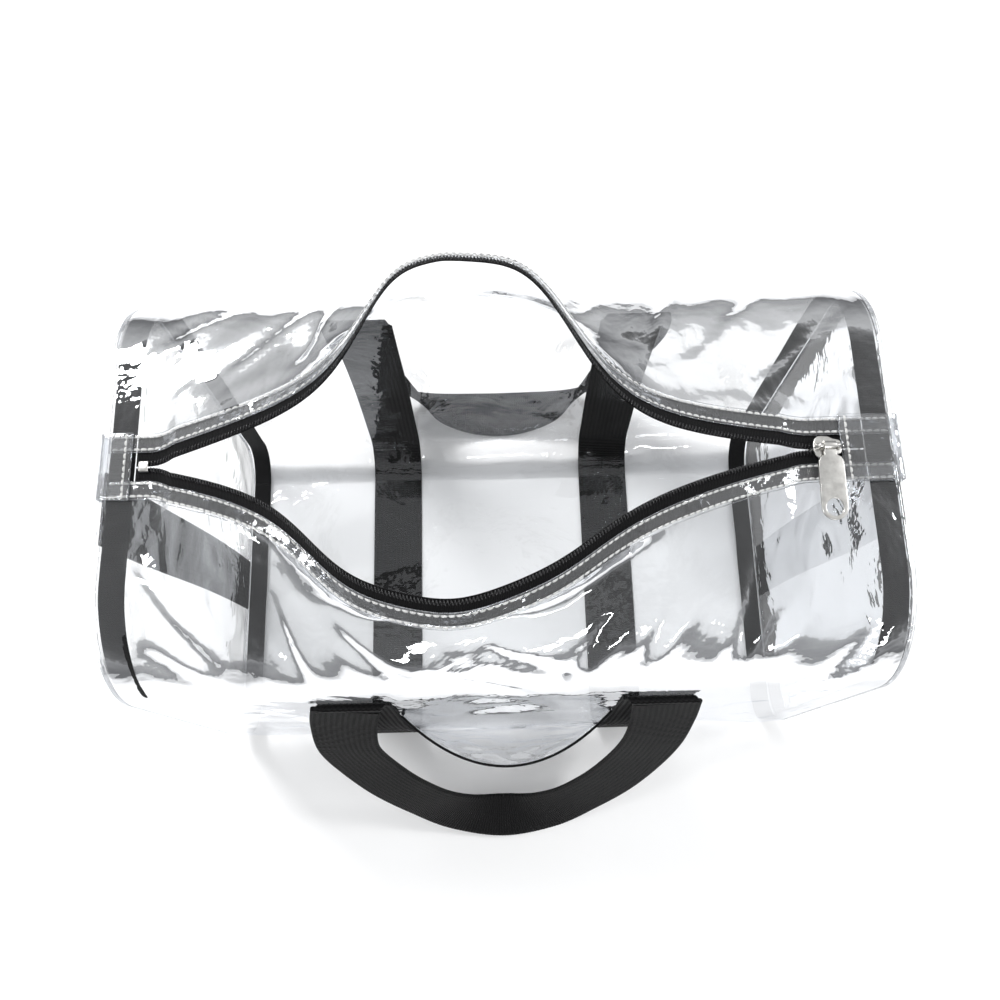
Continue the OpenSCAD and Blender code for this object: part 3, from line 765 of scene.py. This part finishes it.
def make_lips():
    up = np.array([0.0, 0.0, 1.0])
    for side in (-1, 1):
        s = SIDE_NAME[side]
        tape = lip_strip(s + "_tape", side, ZIP_L, TAPE_IN, TAPE_OUT, TAPE_LOW, TAPE_HIGH, TAPE)
        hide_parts(s + "_zipper_tape")
        hem = lip_strip(s + "_hem_film", side, IN_L, HEM_IN, HEM_OUT, -FILM_T, FILM_T, SEAM)
        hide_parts(s + "_hem")
        coil = lip_piece(helix(side), side)
        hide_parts(s + "_zipper_coil")
        parts = []
        for d in HEM_ROWS:
            x, _ = along_lip(side, HEM_STITCH, IN_L - 1.5 * MM, d)
            parts += stitch_parts(on_closed_lip(side, x, d, HEM_STITCH_UP), up)
        thread = lip_piece(join_parts(s + "_hem_thread", parts, WHITE_THREAD), side)
        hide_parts(s + "_hem_stitching")


# ------------------------------------------------------------------ tabs over the zipper's ends
def make_tabs():
    rows_of_thread = []
    stitch_in = 3 * MM
    for k, name in HANDS:
        low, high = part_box(name + "_end_tab")
        x_in = high.x if k < 0 else low.x
        x_out = low.x if k < 0 else high.x
        hw = (high.y - low.y) / 2
        z_top = high.z - 0.4 * MM
        run = abs(x_out - x_in)
        corner = 1.6 * MM
        rows = [(x_in, z_top - 0.9 * MM), (x_in + k * stitch_in, z_top)]
        rows += [(x_in + k * (run - corner) * f, z_top) for f in (0.3, 0.5, 0.7, 0.85, 1.0)]
        rows += [(x_out - k * corner * (1 - math.sin(a)), z_top - corner * (1 - math.cos(a)))
                 for a in (0.4, 0.8, 1.2)]
        rows += [(x_out - k * 0.4 * MM, z_top - corner - f * (z_top - corner - low.z))
                 for f in (0.0, 0.5, 1.0)]
        path, _ = spaced_rows(np.array([(x, CLOSED_Y, z) for x, z in rows]), 1.5 * MM)
        tangent = unit(np.gradient(path, axis=0))
        across = fixed((0, 1, 0), path)
        normal = unit(np.cross(tangent, across))
        wide = 1 - 0.05 * np.linspace(0, 1, len(path))
        tab = sweep(name + "_tab", path, across, normal, flat_profile(hw, 0.35 * MM, 14),
                    SEAM, np.stack([wide, np.ones_like(wide)], axis=1))
        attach(tab, "bag")
        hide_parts(name + "_end_tab")
        y = np.linspace(-hw + 0.8 * MM, hw - 0.8 * MM, 11)
        points = xyz(x_in + k * stitch_in, CLOSED_Y + y, high.z + 0.2 * MM)
        rows_of_thread += stitch_parts(points, np.array([0.0, 0.0, 1.0]))
    thread = join_parts("tab_thread", rows_of_thread, WHITE_THREAD)
    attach(thread, "bag")
    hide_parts("tab_stitching")


# ------------------------------------------------------------------ webbing
def strap(name, path, across, normal, half_w, half_t, rib=0.07 * MM):
    """Webbing swept along a path whose cuts are half a rib apart, so every other cut stands proud."""
    profile = flat_profile(half_w, half_t, 10, 4)
    ups = np.ones(len(path))
    ups[::2] += rib / half_t
    ups[1::2] -= rib / half_t
    wide = np.ones(len(path))
    wide[::2] += 0.12 * MM / half_w
    return sweep(name, path, across, normal, profile, WEBBING, np.stack([wide, ups], axis=1))


def wall_strap(name, side, x):
    base = quarter(HALF_D - BASE_R, BASE_Z + BASE_R, BASE_R + GAP + WEB_T / 2, -90, 0, 14)
    z = np.linspace(BASE_Z + BASE_R, FOLD_Z, 50)[1:]
    wall = np.stack([np.full_like(z, HALF_D + GAP + WEB_T / 2), z], axis=1)
    path = np.concatenate([base, wall])
    y = side * path[:, 0] + shift(path[:, 1])
    y = y + side * swell(np.full_like(y, x), path[:, 1]) * (path[:, 1] > BASE_Z + BASE_R)
    rows, _ = spaced_rows(xyz(x, y, path[:, 1]), RIB / 2)
    tangent = unit(np.gradient(rows, axis=0))
    across = fixed((1, 0, 0), rows)
    normal = unit(np.cross(across, tangent))
    obj = strap(name, rows, across, normal, WEB_W / 2, WEB_T / 2)
    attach(obj, "bag")
    return obj


def make_straps():
    for side in (-1, 1):
        for k, hand in HANDS:
            name = f"{SIDE_NAME[side]}_{hand}"
            obj = wall_strap(name + "_strap", side, k * WEB_X)
            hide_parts(name + "_webbing")
    y0, y1 = MID_Y - (HALF_D - BASE_R), MID_Y + (HALF_D - BASE_R)
    for k, hand in HANDS:
        y = np.arange(y0, y1, RIB / 2)
        path = xyz(k * WEB_X, y, WEB_T / 2)
        across = fixed((1, 0, 0), path)
        normal = fixed((0, 0, 1), path)
        obj = strap(hand + "_base_strap", path, across, normal, WEB_W / 2, WEB_T / 2 - 0.07 * MM)
        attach(obj, "bag")
        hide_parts(hand + "_base_webbing")
        low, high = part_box(hand + "_end_webbing")
        z = np.arange(low.z, high.z, RIB / 2)
        sway = 1.2 * MM * np.sin((z - low.z) / (high.z - low.z) * math.pi * 1.7)
        mid = (low.y + high.y) / 2
        path = xyz((low.x + high.x) / 2, mid + sway, z)
        across = fixed((0, 1, 0), path)
        normal = fixed((1, 0, 0), path)
        obj = strap(hand + "_end_strap", path, across, normal, WEB_W / 2, WEB_T / 2)
        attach(obj, "bag")
        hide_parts(hand + "_end_webbing")
    parts = []
    for side in (-1, 1):
        up = np.array([0.0, float(side), 0.0])
        for k in (-1, 1):
            x0 = k * WEB_X
            rows = []

            def on_strap(x, z):
                y = side * (HALF_D + GAP + WEB_T + 0.2 * MM) + shift(z) + side * swell(np.full_like(z, x0), z)
                return xyz(x, y, z)

            for e in (-1, 1):
                z = np.linspace(SEWN_LOW_Z, SEWN_Z, 16)
                rows.append(on_strap(np.full_like(z, x0 + e * (WEB_W / 2 - BOX_IN)), z))
            for z_row in (SEWN_Z, SEWN_Z - BOX_H):
                x = np.linspace(x0 - WEB_W / 2 + BOX_IN, x0 + WEB_W / 2 - BOX_IN, 11)
                rows.append(on_strap(x, np.full_like(x, z_row)))
            for e in (-1, 1):
                f = np.linspace(0, 1, 11)
                rows.append(on_strap(x0 + e * (f - 0.5) * (WEB_W - 2 * BOX_IN), SEWN_Z - BOX_H * f))
            for points in rows:
                parts += stitch_parts(points, up, radius=STRAP_STITCH_R)
    thread = join_parts("strap_thread", parts, BLACK_THREAD)
    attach(thread, "bag")
    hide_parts("webbing_stitching")


# rows along half a handle, mm: x, outward from the fold, height, and the direction across the webbing
HANDLE_ROWS = {
    -1: [
        (88, 0, 192, 1, 0, 0), (91, 9, 168, 0.99, 0.02, -0.14), (90, 22, 141, 0.96, 0.08, -0.26),
        (82, 35, 109, 0.93, 0.16, -0.33), (68, 49, 74, 0.84, 0.28, -0.46), (50, 61, 43, 0.66, 0.42, -0.62),
        (27, 70, 21, 0.36, 0.66, -0.66), (0, 73, 14.5, 0, 0.8, -0.6),
    ],
    1: [
        (88, 0, 192, 1, 0, 0), (93, 6, 168, 0.99, 0.02, -0.14), (95, 11, 140, 0.97, 0.05, -0.24),
        (93, 15, 108, 0.93, 0.12, -0.35), (87, 17, 74, 0.85, 0.25, -0.46), (74, 16, 40, 0.68, 0.45, -0.58),
        (48, 11, 13, 0.3, 0.85, -0.42), (0, 8, 2.6, 0, 1, -0.02),
    ],
}
FOLD_OUT = 115.5 * MM
FRONT_SWAY = -4 * MM


def handle_frames(side):
    rows = np.array(HANDLE_ROWS[side], float)
    rows[:, :3] *= MM
    right = rows[::-1][1:].copy()
    left = rows.copy()
    left[:, 0] *= -1
    left[:, 3] *= -1
    if side < 0:
        sway = FRONT_SWAY * np.minimum(1, np.arange(len(rows)) / 2)
        left[:, 0] += sway
        right[:, 0] += sway[::-1][1:]
    path = np.concatenate([left, right])
    path = smooth_rows(path, 10)
    path, _ = spaced_rows(path, RIB / 2)
    centre = xyz(path[:, 0], side * (path[:, 1] + FOLD_OUT) + shift(FOLD_Z), path[:, 2])
    across = unit(xyz(path[:, 3], side * path[:, 4], path[:, 5]))
    tangent = unit(np.gradient(centre, axis=0))
    across = unit(across - tangent * (across * tangent).sum(1, keepdims=True))
    normal = np.cross(tangent, across)
    return centre, across, normal


def fold_piece(name, side, k):
    """The webbing's roll over the fold, from the wall up and over to the loose strap."""
    wall_off, loose_off = GAP + WEB_T / 2, FOLD_OUT - HALF_D
    r = (loose_off - wall_off) / 2
    a = np.linspace(0, math.pi, 13)
    out = np.concatenate([[wall_off] * 3, wall_off + r - r * np.cos(a), [loose_off] * 2])
    over = FOLD_Z + 0.8 * MM + r * np.sin(a)
    z = np.concatenate([FOLD_Z - np.array([6, 4, 2]) * MM, over, FOLD_Z - np.array([1, 3]) * MM])
    f = np.linspace(0, 1, len(out))
    x = k * (WEB_X + (HANDLE_ROWS[side][0][0] * MM - WEB_X) * f)
    y = side * (HALF_D + out) + shift(z)
    path = xyz(x, y, z)
    across = fixed((1, 0, 0), path)
    normal = unit(np.cross(unit(np.gradient(path, axis=0)), across))
    thick = np.interp(f, [0, 1], [WEB_T / 2, HANDLE_T / 2]) / (WEB_T / 2)
    profile = flat_profile(WEB_W / 2, WEB_T / 2, 10, 4)
    obj = sweep(name, path, across, normal, profile, WEBBING, np.stack([np.ones_like(f), thick], axis=1))
    set_weights(obj)


def make_handles():
    for side in (-1, 1):
        s = SIDE_NAME[side]
        centre, across, normal = handle_frames(side)
        n = len(centre)
        # a slight ripple in the front handle's doubled webbing, fading toward the folds
        ripple = np.array([noise.noise(Vector((i * 0.012, side * 2.0, 0.0))) for i in range(n)]) * 0.8 * MM
        quiet = smoothstep(0, 40, np.minimum(np.arange(n), n - 1 - np.arange(n)))
        centre = centre + normal * (ripple * quiet)[:, None] * (side < 0)
        obj = strap(s + "_grip", centre, across, normal, WEB_W / 2, HANDLE_T / 2)
        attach(obj, "handle_" + s)
        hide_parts(s + "_handle")
        for k, hand in HANDS:
            fold_piece(f"{s}_{hand}_fold", side, k)


# ------------------------------------------------------------------ front pocket
def pocket_y(x, z, add):
    across = 1 - (np.abs(x) / POCKET_HW) ** 2
    up = np.clip((z - POCKET_LOW) / (POCKET_TOP - POCKET_LOW), 0, 2)
    bulge = POCKET_BULGE * across * up ** POCKET_POWER
    return shift(z) - HALF_D - GAP - bulge - add - swell(x, z) * (1 - across * up)


def make_pocket():
    x = np.linspace(-POCKET_HW, POCKET_HW, 91)
    z = np.linspace(POCKET_LOW, POCKET_TOP, 61)
    X, Z = np.meshgrid(x, z, indexing="ij")
    Y = pocket_y(X, Z, FILM_T / 2)
    flat = xyz(X, Z, 0.0)
    rim = smoothstep(0, 14 * MM, POCKET_HW - np.abs(X)) * smoothstep(0, 20 * MM, Z - POCKET_LOW)
    rim = rim * smoothstep(0, 8 * MM, POCKET_TOP - Z)
    dents = 2.6 * MM * noise_at(flat, 36 * MM, 9.0)
    dents = dents + 1.4 * MM * (0.4 - 2 * np.abs(noise_at(flat, 19 * MM, 4.0)))
    Y = Y - np.clip(dents, -1.5 * MM, 1) * rim
    grid = xyz(X, Y, Z)
    obj = sheet_piece("pocket_film", grid, FILM, flat[..., :2], flip=True)
    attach(obj, "bag")
    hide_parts("front_pocket")
    top = grid[:, -1]
    path, _ = spaced_rows(top, 1.2 * MM)
    path[:, 2] += 1.6 * MM
    tangent = unit(np.gradient(path, axis=0))
    up = fixed((0, 0, 1), path)
    normal = unit(np.cross(tangent, up))
    tape = sweep("pocket_tape", path, up, normal, flat_profile(2.1 * MM, 0.7 * MM, 5), BINDING)
    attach(tape, "bag")
    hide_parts("pocket_binding")


# ------------------------------------------------------------------ slider, pull and stop
def bevel_sharp(bm, offset, segments=3):
    """Rounds the sharp edges of bm."""
    bmesh.ops.recalc_face_normals(bm, faces=bm.faces)
    edges = [e for e in bm.edges if e.calc_face_angle(0) > 0.7]
    bmesh.ops.bevel(bm, geom=edges, offset=offset, segments=segments, profile=0.6, affect="EDGES")


def plate(outline, z0, z1, bevel, segments=3):
    """A plate from an outline of (x, y), in mm like its heights, with rounded edges, as a bmesh."""
    bm = bmesh.new()
    bottom = [bm.verts.new((x * MM, y * MM, z0 * MM)) for x, y in outline]
    face = bm.faces.new(bottom)
    top = bmesh.ops.extrude_face_region(bm, geom=[face])
    moved = [v for v in top["geom"] if isinstance(v, bmesh.types.BMVert)]
    bmesh.ops.translate(bm, verts=moved, vec=(0, 0, (z1 - z0) * MM))
    bevel_sharp(bm, bevel * MM, segments)
    return bm


def bm_object(name, bms, mat, matrix, sharp=50):
    mesh = bpy.data.meshes.new(name)
    whole = bmesh.new()
    for bm in bms:
        part = bpy.data.meshes.new("part")
        bm.to_mesh(part)
        whole.from_mesh(part)
        bm.free()
        bpy.data.meshes.remove(part)
    whole.transform(matrix)
    bmesh.ops.recalc_face_normals(whole, faces=whole.faces)
    whole.to_mesh(mesh)
    whole.free()
    mesh.polygons.foreach_set("use_smooth", [True] * len(mesh.polygons))
    mesh.materials.append(mat)
    obj = link(bpy.data.objects.new(name, mesh))
    mesh.set_sharp_from_angle(angle=math.radians(sharp))
    return obj


def tube_bm(points, radius, sides):
    points = np.asarray(points, float)
    tangent = unit(np.gradient(points, axis=0))
    b = fixed((0, 1, 0), points)
    c = unit(np.cross(tangent, b))
    verts, faces, _ = sweep_parts(points, b, c, circle(sides) * radius)
    bm = bmesh.new()
    vs = [bm.verts.new(v) for v in verts]
    for f in faces:
        bm.faces.new([vs[i] for i in f])
    bmesh.ops.recalc_face_normals(bm, faces=bm.faces)
    return bm


def box_outline(x0, x1, half_w):
    return [(x0, -half_w), (x1, -half_w), (x1, half_w), (x0, half_w)]


# the slider and its pull, in mm, with heights measured up from the top of the roof
PLATE_T, PLATE_UP, PLATE_DOWN = 1.5, 2.3, 4.6
BAR_UP, BAR_R = 6.6, 1.2
# outlines: one half of the slider's plate, from the wedge's end to the tail
SLIDER_HALF = [
    (-7, 0.0), (-7, 1.6), (-6.2, 4.2), (-4.6, 5.7), (-2.2, 6.0),
    (0.8, 5.6), (3.2, 4.4), (5.4, 3.9), (6.6, 3.4), (7.0, 2.2),
]
# the bridge's bar, as x and height
BRIDGE = [
    (-5.6, 3.2), (-5.4, 5.0), (-4.7, 6.3), (-3.6, BAR_UP), (0, BAR_UP),
    (3.6, BAR_UP), (4.7, 6.3), (5.4, 5.0), (5.6, 3.2),
]
# the right half of the pull's neck, from the tab up to the barrel
NECK_HALF = [(6.5, -20.2), (6.45, -12), (6.2, -8.2), (5.3, -6.2), (3.6, -5.3), (3.0, -4.6), (3.0, -2.2)]
PULL_HW, PULL_L, PULL_T, PULL_HOLE_R = 6.5, 38.0, 1.8, 4.4
BARREL_R, BARREL_BORE_R, BARREL_HALF = 2.15, 1.32, 3.0
PULL_DROP = math.radians(5)


def make_slider():
    outline = SLIDER_HALF + [(x, -y) for x, y in reversed(SLIDER_HALF[1:])]
    bms = [
        plate(outline, PLATE_UP, PLATE_UP + PLATE_T, 0.5),
        plate(outline, -PLATE_DOWN, -PLATE_DOWN + PLATE_T, 0.5),
        # the wedge that parts the coils
        plate(box_outline(-6.6, -4.2, 0.3), -3.4, 2.6, 0.1, 2),
        tube_bm(smooth_rows([(x * MM, 0.0, z * MM) for x, z in BRIDGE], 5), BAR_R * MM, 14),
    ]
    # the feet of the bridge
    for x in (-5.5, 5.5):
        bms.append(plate(box_outline(x - 0.9, x + 0.9, 1.7), 3.4, 5.4, 0.55))
    body = bm_object("slider_body", bms, NICKEL, Matrix.Translation((SLIDER_X, CLOSED_Y, TOP_Z)))
    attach(body, "slider")
    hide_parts("zipper_slider")


def pull_edge(c, s, end_y):
    """Where a ray from the hole's middle leaves the tab: round at its end, straight at its sides."""
    if s <= 0:
        return PULL_HW * c, end_y + PULL_HW * s
    reach = 12.0
    t = min(PULL_HW / max(abs(c), 1e-6), reach / max(s, 1e-6))
    return t * c, end_y + t * s


def pull_end():
    """The end of the tab, with its round hole."""
    around = 40
    end_y = PULL_HW - PULL_L
    rays = [(float(c), float(s)) for c, s in circle(around)]
    bm = bmesh.new()
    layers = []
    for z in (-PULL_T / 2, PULL_T / 2):
        hole = [(PULL_HOLE_R * c, end_y + PULL_HOLE_R * s) for c, s in rays]
        edge = [pull_edge(c, s, end_y) for c, s in rays]
        layers.append([[bm.verts.new((x * MM, y * MM, z * MM)) for x, y in loop] for loop in (hole, edge)])
    for i in range(around):
        j = (i + 1) % around
        for k, (inner, outer) in enumerate(layers):
            q = (inner[i], inner[j], outer[j], outer[i])
            bm.faces.new(q if k else tuple(reversed(q)))
        bm.faces.new((layers[0][0][i], layers[1][0][i], layers[1][0][j], layers[0][0][j]))
        bm.faces.new((layers[0][1][i], layers[0][1][j], layers[1][1][j], layers[1][1][i]))
    bevel_sharp(bm, 0.35 * MM)
    return bm


def pull_barrel():
    """The short tube round the slider's bar."""
    around = 24
    bm = bmesh.new()
    loops = []
    for r, x in (
        (BARREL_R, -BARREL_HALF), (BARREL_R, BARREL_HALF),
        (BARREL_BORE_R, BARREL_HALF), (BARREL_BORE_R, -BARREL_HALF),
    ):
        loops.append([bm.verts.new((x * MM, r * c * MM, r * s * MM)) for c, s in circle(around)])
    for a in range(4):
        b = (a + 1) % 4
        for i in range(around):
            j = (i + 1) % around
            bm.faces.new((loops[a][i], loops[a][j], loops[b][j], loops[b][i]))
    bevel_sharp(bm, 0.2 * MM, 2)
    return bm


def make_pull():
    upper = [(-PULL_HW, NECK_HALF[0][1])] + NECK_HALF + [(-x, y) for x, y in reversed(NECK_HALF[1:])]
    neck = plate(upper, -PULL_T / 2, PULL_T / 2, 0.35)
    place = Matrix.Translation((SLIDER_X, CLOSED_Y, TOP_Z + BAR_UP * MM)) @ Matrix.Rotation(PULL_DROP, 4, "X")
    pull = bm_object("pull_tab", [pull_end(), neck, pull_barrel()], NICKEL, place)
    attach(pull, "pull")
    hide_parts("zipper_pull")


def make_stop():
    """A small staple across the closed end of the coils."""
    low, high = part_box("zipper_stop")
    mid = [(low[i] + high[i]) / 2 for i in range(3)]
    hx, hy, hz = [(high[i] - low[i]) / 2 for i in range(3)]
    half = [(0.98, -hz), (1, 0), (0.75, hz * 0.8)]
    arch = [(0, -hy * f, z) for f, z in half] + [(0, 0, hz)] + [(0, hy * f, z) for f, z in reversed(half)]
    arch = smooth_rows(np.array(arch), 5)
    tangent = unit(np.gradient(arch, axis=0))
    across = fixed((1, 0, 0), arch)
    stop = sweep("stop_staple", arch + np.array(mid), across, unit(np.cross(tangent, across)),
                 flat_profile(hx, 0.3 * MM, 4), NICKEL, sharp=60)
    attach(stop, "bag")
    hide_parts("zipper_stop")


# ------------------------------------------------------------------ camera, light and floor
CAMERA_PLACE = Vector((-0.0006, -0.0954, 0.6743))
# how far the camera looks up from straight down, and its turn about its own line of sight
CAMERA_TILT, CAMERA_ROLL = math.radians(14.58), -0.02596
LENS, SENSOR = 30.9, 36
FLOOR_SIZE, FLOOR_CELLS, FLOOR_Z = 6.0, 24, -0.3 * MM
# place, aim, size in metres and power in watts
LIGHTS = {
    "key_soft": ((-0.75, 0.95, 1.5), (0, 0, 0.1), (0.6, 0.4), 26),
    "fill_right": ((1.3, 0.2, 1.1), (0, 0, 0.1), (0.3, 0.5), 10),
    "strip_left": ((-1.3, -0.4, 0.8), (0, 0, 0.15), (0.12, 0.8), 5),
    "low_front": ((0.3, -1.4, 0.9), (0, 0, 0.1), (0.7, 0.15), 8),
}
# the world from the horizon's grey up to white
SKY = ((0.0, (0.3, 0.305, 0.315, 1)), (0.75, (0.98, 0.99, 1.0, 1)))
SKY_STRENGTH = 0.62


def make_floor():
    grid = np.zeros((FLOOR_CELLS + 1, FLOOR_CELLS + 1, 3))
    g = np.linspace(-FLOOR_SIZE / 2, FLOOR_SIZE / 2, FLOOR_CELLS + 1)
    grid[..., 0], grid[..., 1] = np.meshgrid(g, g, indexing="ij")
    grid[..., 2] = FLOOR_Z
    faces = grid_faces(FLOOR_CELLS + 1, FLOOR_CELLS + 1)
    mesh_object("floor", grid.reshape(-1, 3), faces, floor_material())


def make_camera():
    forward = Vector((0, math.sin(CAMERA_TILT), -math.cos(CAMERA_TILT)))
    level = Vector((0, math.cos(CAMERA_TILT), math.sin(CAMERA_TILT)))
    right = Vector((1, 0, 0)) * math.cos(CAMERA_ROLL) + level * math.sin(CAMERA_ROLL)
    up = Vector((-1, 0, 0)) * math.sin(CAMERA_ROLL) + level * math.cos(CAMERA_ROLL)
    data = bpy.data.cameras.new("camera")
    data.lens, data.sensor_width = LENS, SENSOR
    data.clip_start = 0.01
    cam = link(bpy.data.objects.new("camera", data))
    m = Matrix((right, up, -forward)).transposed().to_4x4()
    m.translation = CAMERA_PLACE
    cam.matrix_world = m
    bpy.context.scene.camera = cam


def make_lights():
    for name, (place, aim, size, power) in LIGHTS.items():
        light = bpy.data.lights.new(name, "AREA")
        light.shape = "RECTANGLE"
        light.size, light.size_y = size
        light.energy = power
        obj = link(bpy.data.objects.new(name, light))
        obj.location = place
        obj.rotation_euler = (Vector(aim) - Vector(place)).to_track_quat("-Z", "Y").to_euler()


def make_world():
    world = bpy.data.worlds.new("studio")
    world.use_nodes = True
    tree = world.node_tree
    back = tree.nodes["Background"]
    place = tree.nodes.new("ShaderNodeTexCoord")
    split = tree.nodes.new("ShaderNodeSeparateXYZ")
    sky = tree.nodes.new("ShaderNodeValToRGB")
    tree.links.new(place.outputs["Generated"], split.inputs[0])
    tree.links.new(split.outputs[2], sky.inputs[0])
    tree.links.new(sky.outputs[0], back.inputs[0])
    for element, (at, colour) in zip(sky.color_ramp.elements, SKY):
        element.position, element.color = at, colour
    back.inputs[1].default_value = SKY_STRENGTH
    bpy.context.scene.world = world


def make_stage():
    make_floor()
    make_camera()
    make_lights()
    make_world()
    scene = bpy.context.scene
    scene.view_settings.view_transform = "Standard"
    # every sheet of film is crossed without a bounce of its own
    scene.cycles.transparent_max_bounces = 48
    scene.cycles.max_bounces = 12


make_stage()
make_film()
make_ends()
make_lips()
make_tabs()
make_straps()
make_handles()
make_pocket()
make_slider()
make_pull()
make_stop()
